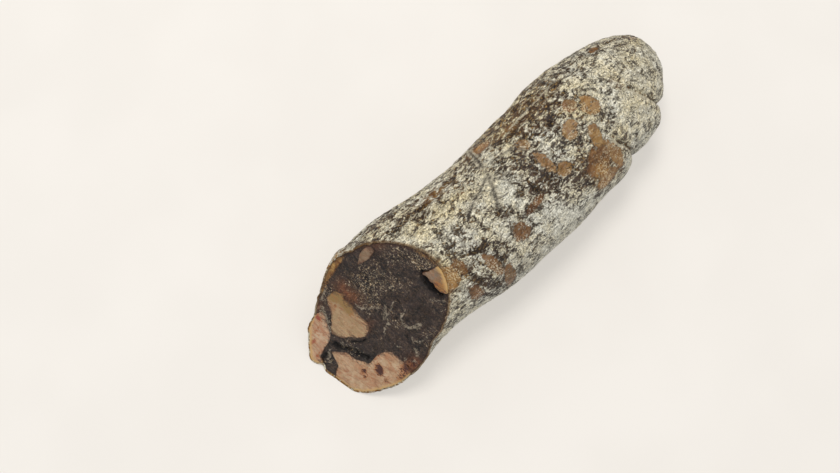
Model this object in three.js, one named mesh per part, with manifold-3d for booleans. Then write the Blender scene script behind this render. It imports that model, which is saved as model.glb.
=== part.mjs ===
// A cured sausage: a length of coarse, dark, air-dried sausage in a natural casing. The near end has
// been cut off on the slant and shows the stuffing, and the far end is the blunt, closed end of the casing.
//
// Frame, in millimetres: the sausage lies on its side along Y, with the cut end towards -Y. +Z is up,
// and the ground is z = 0. The origin is under the middle of the bounding box.
import * as THREE from "three";
import { mergeVertices } from "three/addons/utils/BufferGeometryUtils.js";
import Module from "manifold-3d";

const wasm = await Module();
wasm.setup();

// ---- Driving dimensions ----

// The cross-section is an ellipse about the axis, flattened where the sausage rests.
const HALF_WIDTH = 24.7;
const HALF_HEIGHT = 23.6;
const AXIS_HEIGHT = 22.4;

// From TAPER_Y the section shrinks towards the blunt far end, which lifts off the ground as it closes.
const TAPER_Y = 40.3;
const TIP_Y = 90.3;
const TAPER_POWER = 0.588;
const TIP_HEIGHT = 11.2;

// The cut plane: y = CUT_Y + CUT_SLOPE * (z - AXIS_HEIGHT) + CUT_LEAN * x.
const CUT_Y = -62.8;
const CUT_SLOPE = 1.2;
const CUT_LEAN = 0.18;

// The casing's wall, and the clearance that the stuffing and each lump of fat keep from what holds them.
const WALL = 0.8;
const GAP = 0.3;
const STUFFING_INSET = WALL + GAP;

// The slow sideways wander of the axis: [y, x].
const AXIS_WANDER = [
  [-93, 3.4],
  [-67, -0.8],
  [-43, -3.1],
  [-17, 1.4],
  [9, 2.5],
  [41, 1.4],
  [65, 0.6],
  [87, -2.4],
];

// Swellings and dents of the body. Angles go round the section from +X (0) over the top (90).
const SWELLINGS = [
  { y: 41, angle: 0, along: 9, around: 12, height: 0.9 },
  { y: 67, angle: 20, along: 7, around: 12, height: 1.6 },
  { y: 52, angle: 10, along: 4, around: 12, height: -2.0 },
  { y: 85, angle: 60, along: 8, around: 14, height: 3.5 },
  { y: 19, angle: 0, along: 12, around: 12, height: 0.8 },
  { y: 29, angle: 178, along: 6, around: 14, height: -0.8 },
  { y: -1, angle: 165, along: 10, around: 12, height: -0.6 },
  { y: 57, angle: 165, along: 14, around: 14, height: -0.6 },
  { y: -71, angle: 185, along: 7, around: 9, height: -1.4 },
  { y: -86, angle: 220, along: 9, around: 8, height: 1.6 },
  { y: -89, angle: 243, along: 8, around: 6, height: -1.0 },
];
const MEAN_RADIUS = 24;

// How finely the body is faceted, and how the rings crowd towards the far end.
const FACETS_AROUND = 48;
const RINGS_ALONG = 28;
const RING_EASING = 1.3;

// ---- Materials ----

const material = (color, roughness) => new THREE.MeshStandardMaterial({ color, roughness, metalness: 0 });
const CASING = material(0x8a7d69, 0.6);
const LEAN = material(0x33221f, 0.45);
const CREAM_FAT = material(0xcdaf87, 0.4);
const PINK_FAT = material(0xd3a183, 0.4);
const AMBER_FAT = material(0xb77a35, 0.35);

// ---- The body's shape ----

// The axis's sideways place at y: a cubic through AXIS_WANDER whose slope at each station is that of
// the line between its neighbours.
function axisX(y) {
  const last = AXIS_WANDER.length - 1;
  const slopeAt = (i) => {
    const [y0, x0] = AXIS_WANDER[Math.max(i - 1, 0)];
    const [y1, x1] = AXIS_WANDER[Math.min(i + 1, last)];
    return (x1 - x0) / (y1 - y0);
  };
  const after = AXIS_WANDER.findIndex(([station]) => station > y);
  const i = after < 0 ? last - 1 : Math.max(after - 1, 0);
  const [y0, x0] = AXIS_WANDER[i];
  const [y1, x1] = AXIS_WANDER[i + 1];
  const span = y1 - y0;
  const t = THREE.MathUtils.clamp((y - y0) / span, 0, 1);
  const towardsStart = (1 - t) ** 2;
  const towardsEnd = t ** 2;
  return (
    towardsStart * ((1 + 2 * t) * x0 + t * span * slopeAt(i)) +
    towardsEnd * ((3 - 2 * t) * x1 - (1 - t) * span * slopeAt(i + 1))
  );
}

// The share of the full section that is left at y.
function taper(y, inset) {
  const t = THREE.MathUtils.clamp((y - TAPER_Y) / (TIP_Y - inset - TAPER_Y), 0, 1);
  return (1 - t * t) ** TAPER_POWER;
}

// How far the swellings and dents stand out at y and angle.
function swelling(y, angle) {
  let height = 0;
  for (const s of SWELLINGS) {
    const turn = THREE.MathUtils.euclideanModulo(angle - THREE.MathUtils.degToRad(s.angle) + Math.PI, 2 * Math.PI);
    const arc = (turn - Math.PI) * MEAN_RADIUS;
    height += s.height * Math.exp(-(((y - s.y) / s.along) ** 2) - (arc / s.around) ** 2);
  }
  return height;
}

// A point of the body's surface, or of the surface that lies `inset` inside it.
function surfacePoint(y, angle, inset) {
  const share = taper(y, inset);
  const swell = swelling(y, angle) - inset;
  const centre = TIP_HEIGHT + (AXIS_HEIGHT - TIP_HEIGHT) * share;
  const x = axisX(y) + (HALF_WIDTH + swell) * share * Math.cos(angle);
  const z = centre + (HALF_HEIGHT + swell) * share * Math.sin(angle);
  return new THREE.Vector3(x, y, Math.max(z, inset));
}

const cutPlaneY = (x, z) => CUT_Y + CUT_SLOPE * (z - AXIS_HEIGHT) + CUT_LEAN * x;

// Where the surface line at this angle meets the cut plane, by repeated substitution.
function rimPoint(angle, inset) {
  let point = surfacePoint(CUT_Y, angle, inset);
  for (let round = 0; round < 40; round++) {
    point = surfacePoint((point.y + cutPlaneY(point.x, point.z)) / 2, angle, inset);
  }
  return point;
}

// Rings of points from the cut rim to the far end: slanted like the cut at first, and square to the
// axis at the end. The last ring is the one point of the tip.
function bodyRings(inset) {
  const angles = Array.from({ length: FACETS_AROUND }, (_, i) => (2 * Math.PI * i) / FACETS_AROUND);
  const rim = angles.map((angle) => rimPoint(angle, inset));
  const rings = [rim];
  for (let ring = 1; ring < RINGS_ALONG; ring++) {
    const s = 1 - (1 - ring / RINGS_ALONG) ** RING_EASING;
    rings.push(angles.map((angle, i) => surfacePoint(rim[i].y * (1 - s) + (TIP_Y - inset) * s, angle, inset)));
  }
  rings.push([surfacePoint(TIP_Y - inset, 0, inset)]);
  return rings;
}

// A closed skin over rings of points, which begins and ends in a ring of one point.
function skinOver(rings) {
  const triangles = [];
  const at = (ring, i) => ring[i % ring.length];
  for (let r = 0; r + 1 < rings.length; r++) {
    const [here, next] = [rings[r], rings[r + 1]];
    for (let i = 0; i < FACETS_AROUND; i++) {
      if (here.length > 1) triangles.push(at(here, i), at(next, i + 1), at(here, i + 1));
      if (next.length > 1) triangles.push(at(here, i), at(next, i), at(next, i + 1));
    }
  }
  return new THREE.BufferGeometry().setFromPoints(triangles);
}

// ---- Cutting ----

// A three.js geometry as a manifold-3d solid.
function solidOf(geometry, matrix = new THREE.Matrix4()) {
  const bare = new THREE.BufferGeometry().setAttribute("position", geometry.getAttribute("position").clone());
  bare.setIndex(geometry.getIndex());
  const merged = mergeVertices(bare, 1e-4).applyMatrix4(matrix);
  return new wasm.Manifold(
    new wasm.Mesh({
      numProp: 3,
      vertProperties: new Float32Array(merged.getAttribute("position").array),
      triVerts: new Uint32Array(merged.getIndex().array),
    }),
  );
}

// A manifold-3d solid as a faceted three.js geometry.
function geometryOf(solid) {
  const { numProp, vertProperties, triVerts } = solid.getMesh();
  const positions = new THREE.InterleavedBuffer(vertProperties, numProp);
  const indexed = new THREE.BufferGeometry();
  indexed.setAttribute("position", new THREE.InterleavedBufferAttribute(positions, 3, 0));
  indexed.setIndex(new THREE.BufferAttribute(triVerts, 1));
  const faceted = indexed.toNonIndexed();
  faceted.computeVertexNormals();
  return faceted;
}

// ---- Lumps of fat ----

// Lumps that the cut goes through. `outline` is the lump seen along the sausage, as [x, z]; it may run
// out past the stuffing, which trims it. `back` is the y of the lump's inner end.
const CUT_LUMPS = [
  {
    name: "fat_centre",
    color: CREAM_FAT,
    back: -52,
    outline: [
      [-20.6, 19.4],
      [-19.0, 22.4],
      [-15.9, 22.4],
      [-10.8, 21.6],
      [-5.2, 20.8],
      [-0.4, 19.0],
      [0.6, 15.9],
      [-2.2, 14.3],
      [-6.2, 11.8],
      [-9.0, 11.1],
      [-12.4, 12.3],
      [-16.2, 14.4],
      [-19.4, 16.6],
    ],
  },
  {
    name: "fat_left",
    color: PINK_FAT,
    back: -64,
    outline: [
      [-23.5, 15.6],
      [-19.0, 14.8],
      [-15.6, 12.9],
      [-11.8, 10.9],
      [-8.4, 9.4],
      [-6.9, 6.6],
      [-6.2, 2.4],
      [-6.8, -2.0],
      [-12.6, -3.2],
      [-20.0, 2.0],
      [-24.5, 9.0],
    ],
  },
  {
    name: "fat_bottom",
    color: PINK_FAT,
    back: -56,
    outline: [
      [-4.6, 7.0],
      [-0.8, 9.0],
      [4.2, 9.1],
      [8.4, 10.4],
      [8.4, 13.8],
      [11.4, 16.4],
      [15.2, 17.2],
      [19.4, 16.8],
      [24.5, 15.0],
      [24.5, 5.0],
      [17.0, -2.5],
      [7.0, -4.0],
      [1.0, -2.0],
      [0.8, 2.6],
      [-1.0, 5.2],
    ],
  },
  {
    name: "fat_top",
    color: CREAM_FAT,
    back: -40,
    outline: [
      [-20.4, 38.4],
      [-17.8, 37.6],
      [-17.6, 35.6],
      [-18.6, 33.4],
      [-20.4, 34.6],
      [-21.6, 36.2],
    ],
  },
  {
    name: "fat_rim_lump",
    color: AMBER_FAT,
    back: -27,
    outline: [
      [1.4, 42.2],
      [5.2, 41.2],
      [9.0, 40.6],
      [13.4, 39.6],
      [18.0, 44.0],
      [13.0, 50.0],
      [3.0, 50.0],
    ],
  },
];

// Lumps that lie just under the casing and show through it: where they are, their half-lengths along
// and around the sausage, how deep they reach, and their turn about the outward normal, in degrees.
const SKIN_LUMPS = [
  { name: "fat_spot", color: AMBER_FAT, y: -4.3, angle: 57, along: 4.4, around: 4.4, depth: 3.0, turn: 0 },
  { name: "fat_fleck", color: AMBER_FAT, y: 5.7, angle: 68, along: 2.0, around: 4.0, depth: 2.2, turn: 35 },
  { name: "fat_band", color: AMBER_FAT, y: 19.3, angle: 72, along: 3.2, around: 8.0, depth: 3.0, turn: -8 },
  { name: "fat_shoulder", color: AMBER_FAT, y: 38.0, angle: 68, along: 3.8, around: 8.0, depth: 3.0, turn: 20 },
  { name: "fat_ridge", color: AMBER_FAT, y: 45.5, angle: 98, along: 3.2, around: 4.6, depth: 2.6, turn: -25 },
  { name: "fat_flank", color: AMBER_FAT, y: 42.0, angle: 33, along: 5.0, around: 4.6, depth: 3.0, turn: 0 },
  { name: "fat_side", color: AMBER_FAT, y: -18.0, angle: 42, along: 2.4, around: 8.0, depth: 2.6, turn: 0 },
];
const EXTRUDE_DEPTH = 60;
const OUTLINE_POINTS = 26;

// A lump's outline as a smooth closed shape, carried along the sausage. `grow` makes it larger all round.
function cutLumpSolid({ outline, back }, grow) {
  const curve = new THREE.CatmullRomCurve3(
    outline.map(([x, z]) => new THREE.Vector3(x, z, 0)),
    true,
  );
  const points = curve.getPoints(OUTLINE_POINTS).slice(0, -1);
  const shape = new THREE.Shape(points.map((p) => new THREE.Vector2(p.x, p.y)));
  const geometry = new THREE.ExtrudeGeometry(shape, {
    depth: EXTRUDE_DEPTH,
    curveSegments: 1,
    bevelEnabled: grow > 0,
    bevelSegments: 1,
    bevelThickness: grow,
    bevelSize: 0,
    bevelOffset: grow,
  });
  const place = new THREE.Matrix4().makeTranslation(0, back, 0);
  return solidOf(geometry, place.multiply(new THREE.Matrix4().makeRotationX(Math.PI / 2)));
}

// A lens-shaped lump centred on the stuffing's surface. `grow` makes it larger all round.
function skinLumpSolid({ y, angle, along, around, depth, turn }, grow) {
  const theta = THREE.MathUtils.degToRad(angle);
  const outward = new THREE.Vector3(Math.cos(theta), 0, Math.sin(theta));
  const lengthwise = new THREE.Vector3(0, 1, 0);
  const across = new THREE.Vector3().crossVectors(lengthwise, outward);
  const place = new THREE.Matrix4().makeBasis(across, lengthwise, outward);
  place.setPosition(surfacePoint(y, theta, STUFFING_INSET));
  place.multiply(new THREE.Matrix4().makeRotationZ(THREE.MathUtils.degToRad(turn)));
  place.multiply(new THREE.Matrix4().makeScale(around + grow, along + grow, depth + grow));
  return solidOf(new THREE.SphereGeometry(1, 18, 10), place);
}

// ---- The pieces ----

const sausage = new THREE.Group();

function add(name, geometry, color) {
  const mesh = new THREE.Mesh(geometry, color);
  mesh.name = name;
  sausage.add(mesh);
}

// The casing: up the inside from the tip to the rim, and back along the outside.
const casing = skinOver([...bodyRings(WALL).reverse(), ...bodyRings(0)]);
casing.computeVertexNormals();
add("casing", casing, CASING);

// The stuffing fills the casing up to the flat cut face, and each lump of fat sits in a pocket of it.
const stuffingRings = bodyRings(STUFFING_INSET);
const middle = new THREE.Vector3(0, 0, AXIS_HEIGHT);
middle.x = axisX(CUT_Y);
middle.y = cutPlaneY(middle.x, middle.z);
const stuffing = solidOf(skinOver([[middle], ...stuffingRings]));

let lean = stuffing;
const lumps = [
  ...CUT_LUMPS.map((lump) => ({ ...lump, shape: cutLumpSolid })),
  ...SKIN_LUMPS.map((lump) => ({ ...lump, shape: skinLumpSolid })),
];
for (const lump of lumps) {
  add(lump.name, geometryOf(stuffing.intersect(lump.shape(lump, 0))), lump.color);
  lean = lean.subtract(lump.shape(lump, GAP));
}
add("lean_meat", geometryOf(lean), LEAN);

export default sausage;
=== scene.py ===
# %% [markdown]
# # A dry-cured sausage, cut on the slant
#
# The real thing is coarse dark mince and lumps of fat, stuffed in a natural casing and hung to dry.
# Drying shrinks the stuffing, so the skin wrinkles over it, a floury bloom of harmless mould grows on
# the skin, and the lumps of fat that lie against it show through as smooth amber patches.
#
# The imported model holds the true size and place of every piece. This lesson keeps that frame and makes
# each piece again as a fine surface: the skin, the meat with its cut face, and the lumps of fat.

# %% Load the frame
import math
import bpy
import numpy as np
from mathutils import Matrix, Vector


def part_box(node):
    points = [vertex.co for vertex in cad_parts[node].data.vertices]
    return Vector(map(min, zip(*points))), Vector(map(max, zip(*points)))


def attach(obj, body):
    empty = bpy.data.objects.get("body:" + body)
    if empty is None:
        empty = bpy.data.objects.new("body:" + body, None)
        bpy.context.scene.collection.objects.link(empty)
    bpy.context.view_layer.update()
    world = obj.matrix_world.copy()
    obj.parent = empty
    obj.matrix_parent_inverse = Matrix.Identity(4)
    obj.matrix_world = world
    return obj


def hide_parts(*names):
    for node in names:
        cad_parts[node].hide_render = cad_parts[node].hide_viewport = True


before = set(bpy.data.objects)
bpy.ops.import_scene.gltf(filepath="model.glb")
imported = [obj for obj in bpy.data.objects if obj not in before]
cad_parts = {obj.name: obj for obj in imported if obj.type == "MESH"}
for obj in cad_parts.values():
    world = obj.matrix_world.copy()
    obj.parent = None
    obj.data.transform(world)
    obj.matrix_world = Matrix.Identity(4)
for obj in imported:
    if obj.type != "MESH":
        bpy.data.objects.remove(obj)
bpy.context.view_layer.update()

MM = 0.001

# %% [markdown]
# ## Smooth randomness
#
# Nothing on a sausage is regular, so nearly every surface below borrows from one source of randomness:
# value noise. Random numbers sit at the corners of a grid of cubes, and a point takes a smooth blend of
# the eight around it. It is worked out in space and not on the skin, so it has no seam.

# %% Noise
def noise(points, size, seed):
    """Smooth random numbers from -1 to 1 at points, with swells about `size` across.

    size is one length, or three when the swells are stretched. Each number is the sum over the eight
    corners of the point's cube of (corner's random number) x (product of the three closeness weights),
    and a weight is t * t * (3 - 2 t), so that the slope is zero at every corner.
    """
    place = points / np.asarray(size) + 500.0
    cell = np.floor(place).astype(int)
    t = place - cell
    t = t * t * (3 - 2 * t)
    numbers = np.random.default_rng(seed).uniform(-1, 1, (32, 32, 32))
    total = 0.0
    for corner in np.ndindex(2, 2, 2):
        x, y, z = np.moveaxis((cell + corner) % 32, -1, 0)
        weight = np.where(corner, t, 1 - t).prod(axis=-1)
        total = total + weight * numbers[x, y, z]
    return total


def rough(points, size, seed, octaves=3):
    """Noise with finer and fainter noise added: each octave has half the size and half the strength."""
    layers = [noise(points, np.asarray(size) / 2**k, seed + k) / 2**k for k in range(octaves)]
    return sum(layers) / (2 - 2.0 ** (1 - octaves))


def ease(value, start, end):
    """0 before start, 1 after end, and a smooth S between them."""
    t = np.clip((value - start) / (end - start), 0, 1)
    return t * t * (3 - 2 * t)


def bell(value, middle, width):
    """1 in the middle, falling off on both sides: exp(-((value - middle) / width)^2)."""
    return np.exp(-(((value - middle) / width) ** 2))


def bend(points, size, seed, reach):
    """Points pushed about by up to reach, by three noises, so that a pattern read there winds."""
    return points + reach * np.stack([noise(points, size, seed + k) for k in range(3)], axis=-1)


# %% [markdown]
# ## The body
#
# The sausage lies along Y with the cut towards -Y. Its section is an ellipse flattened where it rests,
# its axis wanders a little, and it closes in a blunt end that lifts off the ground. Places on the body
# are named by y and by the angle round it, from +X (0 degrees) over the top (90) to -X (180). These are
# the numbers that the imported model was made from, so both start from one shape.

# %% The body's formula
casing_low, casing_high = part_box("casing")
HALF_WIDTH = 24.7 * MM
HALF_HEIGHT = 23.6 * MM
AXIS_HEIGHT = casing_high.z - HALF_HEIGHT
TIP_Y = casing_high.y
TAPER_Y = TIP_Y - 50 * MM
TAPER_POWER = 0.588
TIP_HEIGHT = AXIS_HEIGHT / 2
MEAN_RADIUS = 24 * MM
CUT_Y = -62.8 * MM
CUT_SLOPE = 1.2
CUT_LEAN = 0.18
AXIS_WANDER = MM * np.array([(-93, 3.4), (-67, -0.8), (-43, -3.1), (-17, 1.4), (9, 2.5), (41, 1.4),
                             (65, 0.6), (87, -2.4)])

# y, angle, size along, size around, height: the swellings and dents that shape the outline.
SWELLINGS = [(41, 0, 9, 12, 0.9), (67, 20, 7, 12, 1.6), (52, 10, 4, 12, -2.0), (85, 60, 8, 14, 3.5),
             (19, 0, 12, 12, 0.8), (29, 178, 6, 14, -0.8), (-1, 165, 10, 12, -0.6), (57, 165, 14, 14, -0.6),
             (-71, 185, 7, 9, -1.4), (-86, 220, 9, 8, 1.6), (-89, 243, 8, 6, -1.0)]


def through(stations, at):
    """A smooth line through (place, value) stations: on each span the cubic whose end slopes are those
    of the line between the neighbouring stations."""
    places, values = stations.T
    slopes = np.gradient(values, places)
    i = np.clip(np.searchsorted(places, at) - 1, 0, len(places) - 2)
    span = places[i + 1] - places[i]
    t = np.clip((at - places[i]) / span, 0, 1)
    start = (1 - t) ** 2 * ((1 + 2 * t) * values[i] + t * span * slopes[i])
    end = t**2 * ((3 - 2 * t) * values[i + 1] - (1 - t) * span * slopes[i + 1])
    return start + end


def offsets(y, angle, at_y, at_angle):
    """How far (y, angle) lies from a place on the body, along it and around it, in metres."""
    turn = (angle - math.radians(at_angle) + np.pi) % (2 * np.pi) - np.pi
    return y - at_y * MM, turn * MEAN_RADIUS


def mounds(y, angle, places):
    """The sum of soft hills on the body, each (y, angle, size along, size around, height): its height x
    the bell of the offset along x the bell of the offset around."""
    total = 0.0
    for at_y, at_angle, along, around, height in places:
        a, b = offsets(y, angle, at_y, at_angle)
        total = total + height * bell(a, 0, along * MM) * bell(b, 0, around * MM)
    return total


def body(y, angle):
    """The plain body: centre + (half width x cos angle, half height x sin angle) x taper, where taper is
    (1 - t^2) ^ TAPER_POWER and t runs from 0 where the taper starts to 1 at the tip."""
    t = np.clip((y - TAPER_Y) / (TIP_Y - TAPER_Y), 0, 1)
    share = (1 - t * t) ** TAPER_POWER
    swell = MM * mounds(y, angle, SWELLINGS)
    x = through(AXIS_WANDER, y) + (HALF_WIDTH + swell) * share * np.cos(angle)
    centre = TIP_HEIGHT + (AXIS_HEIGHT - TIP_HEIGHT) * share
    z = centre + (HALF_HEIGHT + swell) * share * np.sin(angle)
    return np.stack([x, y, np.maximum(z, 0)], axis=-1)


def outward(y, angle, step=0.05 * MM):
    """The body's outward normal: the cross product of the steps around it and along it."""
    y = np.minimum(y, TIP_Y - 2 * step)
    around = body(y, angle + step / MEAN_RADIUS) - body(y, angle - step / MEAN_RADIUS)
    along = body(y + step, angle) - body(y - step, angle)
    normal = np.cross(along, around)
    return normal / np.maximum(np.linalg.norm(normal, axis=-1, keepdims=True), 1e-12)


def cut_plane(x, z):
    return CUT_Y + CUT_SLOPE * (z - AXIS_HEIGHT) + CUT_LEAN * x


print("body", round((TIP_Y - casing_low.y) / MM, 1), "mm long,", round(2 * HALF_WIDTH / MM, 1), "mm across")

# %% [markdown]
# ## Lines and patches on the skin
#
# Creases, veins and patches are given as (y, angle) stations. A line's reach over the skin
# comes from the distance to it, so one function of distance can carve a groove or raise a cord.

# %% Distances on the skin
def smooth_line(stations, count=28):
    """An evenly numbered smooth line through stations, by the cubic of through() on each coordinate."""
    stations = np.asarray(stations, float)
    number = np.arange(len(stations))
    at = np.linspace(0, len(stations) - 1, count)
    return np.stack([through(np.stack([number, c], 1), at) for c in stations.T], axis=1)


def to_line(points, line):
    """For 2-D points, the distance to a line, the side they lie on (+1 left of its way) and how far
    along it they come (0 to 1). The nearest piece of the line wins."""
    best = np.full(points.shape[:-1], np.inf)
    side = np.ones_like(best)
    way = np.zeros_like(best)
    pieces = len(line) - 1
    for i, (a, b) in enumerate(zip(line[:-1], line[1:])):
        ab = b - a
        t = np.clip(((points - a) @ ab) / max(ab @ ab, 1e-18), 0, 1)
        off = points - a - t[..., None] * ab
        distance = np.hypot(off[..., 0], off[..., 1])
        nearer = distance < best
        best = np.where(nearer, distance, best)
        side = np.where(nearer, np.sign(ab[0] * off[..., 1] - ab[1] * off[..., 0]), side)
        way = np.where(nearer, (i + t) / pieces, way)
    return best, side, way


def on_skin(y, angle):
    """Skin coordinates in metres: along the body, and around it from the top, so that lines may cross
    it but not the underside."""
    turn = (angle - np.pi / 2 + np.pi) % (2 * np.pi) - np.pi
    return np.stack([y, turn * MEAN_RADIUS], axis=-1)


def skin_line(stations):
    """A smooth line on the skin through (y in mm, angle in degrees) stations."""
    y, angle = np.array(stations, float).T
    return smooth_line(on_skin(y * MM, np.radians(angle)))


# stations, depth, width, lip: folds where the skin has shrunk.
CREASES = [
    ([(72, 4), (70.5, 26), (67, 50), (63.8, 72), (60.6, 90), (58.5, 106)], 1.3, 0.9, 0.7),
    ([(50.5, -8), (49.8, 12), (48.4, 32), (45.0, 52), (43.6, 64)], 1.2, 0.9, 0.6),
    ([(55, 92), (58, 84), (60.5, 77)], 0.5, 0.5, 0.3),
    ([(76, 104), (72.5, 90), (73.5, 76), (78, 64)], 0.4, 0.7, 0.3),
    ([(52, 118), (49, 104), (50.5, 92)], 0.4, 0.6, 0.25),
    ([(-10.5, 33), (-13.5, 26), (-15.5, 18)], 0.7, 0.6, 0.3),
    ([(27, 66), (33, 65), (37, 61)], 0.4, 0.5, 0.2),
    ([(-6, 140), (-20, 133), (-33, 130)], 0.5, 1.0, 0.2),
    ([(12, 122), (24, 128), (40, 126), (52, 131)], 0.6, 1.2, 0.2),
    ([(80, 128), (74, 132), (62, 136), (50, 146)], 0.5, 1.1, 0.3),
]

# y, angle, size along, size around, height: notches between the lobes, and the lobes' brows.
LOBES = [(-55, 10, 6, 6, -1.5), (-56, 172, 4, 8, 1.5), (-62, 172, 5, 7, 1.0), (-78, 206, 9, 5, -2.0),
         (-85, 223, 7, 3.2, -1.0), (-89.5, 240, 7, 3.6, 2.2), (-89, 252, 6, 1.8, -1.0),
         (72, 4, 2.8, 11, -2.8), (49.8, -2, 2.4, 10, -1.5), (76.5, 8, 2.6, 10, 0.5), (66, 14, 3.0, 10, 0.4),
         (62.5, 80, 1.8, 12, -0.6), (67.0, 76, 2.6, 12, 0.6), (46.0, 50, 2.0, 10, -0.5), (54, 50, 4, 14, 0.4)]

# stations, height, width: the cords of the gut's own vessels, which branch on the top.
VEINS = [
    ([(5.0, 152), (3.6, 137), (2.6, 124), (1.3, 113)], 0.55, 0.55),
    ([(1.3, 113), (-1.6, 110), (-6.5, 106.5), (-12.0, 101), (-16.5, 93), (-20.5, 84)], 0.5, 0.5),
    ([(1.3, 113), (-0.2, 105), (-2.4, 96), (-4.6, 88), (-6.5, 80)], 0.5, 0.6),
    ([(0.6, 110), (2.0, 106), (4.2, 103), (8.5, 101), (13, 103)], 0.3, 0.45),
    ([(2.2, 121), (6.5, 118), (11.5, 117), (15.5, 112), (18, 103), (19.5, 95)], 0.3, 0.5),
    ([(1.8, 118), (-2.0, 118.5), (-7.5, 114)], 0.25, 0.4),
    ([(1.4, 107), (4.5, 98), (6.4, 90)], 0.28, 0.4),
    ([(3.8, 104), (8.0, 96), (11.0, 86)], 0.25, 0.4),
    ([(-22, 60), (-14, 66), (-9, 74)], 0.15, 0.5),
    ([(70, 66), (77, 70), (83, 80)], 0.3, 0.5),
]

# y, angle, half length along, half length around, turn, tone: where fat shows through the skin. Tone
# runs from 0, dark brown, to 1, tan.
PATCHES = [
    (-4.8, 57.5, 3.5, 4.4, 10, 0.10),
    (6.0, 67.0, 5.2, 1.5, 8, 0.0),
    (18.9, 87, 1.9, 5.4, 6, 0.55),
    (22.4, 70, 3.0, 2.9, -10, 0.5),
    (34.0, 89, 4.0, 3.0, 20, 0.6),
    (39.2, 69, 2.3, 4.6, -18, 0.75),
    (34.5, 51, 6.6, 5.4, 10, 0.05),
    (41.0, 44, 2.8, 8.6, 6, 0.5),
    (34.0, 30, 5.4, 3.8, 0, 0.2),
    (45.8, 90, 3.4, 4.4, 0, 0.75),
    (40.6, 103, 2.6, 3.0, 12, 0.3),
    (-19.8, 50, 2.2, 6.4, 6, 0.15),
    (-17.6, 27, 2.6, 7.0, -14, 0.25),
    (-29.6, 66, 2.2, 4.2, 0, 0.1),
    (-31.0, 35, 2.6, 4.6, 0, 0.05),
    (8.5, 142, 3.6, 2.8, 0, 0.25),
    (18.0, 110, 2.2, 3.2, 30, 0.35),
    (66.0, 136, 2.0, 1.8, 0, 0.1),
    (83.5, 124, 1.8, 2.2, 0, 0.2),
    (-35.0, 64, 3.8, 5.4, 0, 0.6),
]


# The share of a patch's size at which it starts and is full.
PATCH_EDGE = (1.14, 0.82)


def in_patch(y, angle, patch, edge):
    """1 inside an oval patch and 0 outside it, with a ragged edge: the oval's radius is shifted by the
    numbers in edge before it is compared with PATCH_EDGE."""
    at_y, at_angle, along, around, turn, _ = patch
    a, b = offsets(y, angle, at_y, at_angle)
    c, s = math.cos(math.radians(turn)), math.sin(math.radians(turn))
    radius = np.hypot((a * c + b * s) / (along * MM), (b * c - a * s) / (around * MM))
    return ease(radius + edge, *PATCH_EDGE)


print(len(CREASES), "creases,", len(VEINS), "veins,", len(PATCHES), "patches")

# %% [markdown]
# ## The skin's relief
#
# The skin could be left smooth and its wrinkles painted on as bumps, but the wrinkles catch the light
# along the outline too, so they are real height. Heights are added along the outward normal: slow lumps
# from the mince, long wrinkles from drying, folds, veins, and patches where the fat pulls it taut.

# %% Taut patches
# y, angle, size along, size around, share: where the skin is more wrinkled.
WRINKLED = [(60, 70, 16, 30, 0.6), (55, 40, 10, 16, 0.8), (78, 60, 10, 40, 0.5), (0, 160, 70, 14, 0.9),
            (-45, 165, 20, 16, 0.8), (30, 130, 18, 10, 0.5), (8, 95, 9, 9, 0.5), (-25, 20, 14, 12, 0.5),
            (0, -70, 80, 30, 0.6)]


def taut_patches(y, angle, points):
    """How much of the skin at each point is a smooth patch, and the tone of that patch."""
    edge = 0.34 * rough(points, 2.4 * MM, 40)
    cover, tone = np.zeros((2, *y.shape))
    for patch in PATCHES:
        here = in_patch(y, angle, patch, edge)
        tone = np.where(here > cover, patch[5], tone)
        cover = np.maximum(cover, here)
    return cover, tone


# %% Creases and veins
def creased(flat):
    """Height of the creases, how deep in a fold each place lies, and the pale brow beside each fold. A
    fold is a bell of the distance to its line, and its lip and brow are bells a little way off. The finish
    darkens the folds as painted shade, and the brow is partly a painted highlight."""
    height, fold, brows = np.zeros((3, *flat.shape[:-1]))
    for stations, depth, width, lip in CREASES:
        wide = width * MM
        distance, side, way = to_line(flat, skin_line(stations))
        reach = ease(way, 0, 0.18) * ease(way, 1, 0.82)
        groove = bell(distance, 0, wide) * reach
        shoulder = bell(distance, 1.6 * wide, 1.7 * wide) * reach
        brow = bell(distance, 1.5 * wide, 0.7 * wide) * reach * (side > 0)
        height = height - depth * groove + lip * shoulder * np.where(side > 0, 0.35, 1.0)
        fold = np.maximum(fold, groove)
        brows = np.maximum(brows, brow * depth)
    return height, fold, brows


def veined(flat):
    """Height of the vessels, the pale hem along each, and its shade. Each is a cord in a shallow skirt.
    The hem is partly a painted highlight, and the shade is painted shade along the cord.
    """
    height, hems, shade = np.zeros((3, *flat.shape[:-1]))
    for stations, rise, width in VEINS:
        wide = width * MM
        distance, _, way = to_line(flat, skin_line(stations))
        fade = 2 * rise * ease(way, 1, 0.7)
        cord = bell(distance, 0, 1.1 * wide) * fade
        skirt = bell(distance, 0, 3.2 * wide) * fade
        hem = bell(distance, 1.7 * wide, 0.7 * wide) * fade
        height = height + 0.35 * cord - 0.15 * skirt + 0.12 * hem
        hems = np.maximum(hems, hem)
        shade = np.maximum(shade, np.maximum(cord, 0.5 * skirt))
    return height, hems, shade


# %% Relief of the skin
# Heights in millimetres: lumps of mince, wrinkles, grain, taut patches, and pleats at the tip.
LUMP_HEIGHT = 0.42
LONG_WRINKLE = 0.26
FINE_WRINKLE = 0.13
SKIN_GRAIN = 0.2
PATCH_RISE = 0.15
PLEAT_HEIGHT = 0.15
PLEATS = 13
MEAT_FLOOR = 1.2 * MM


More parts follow.
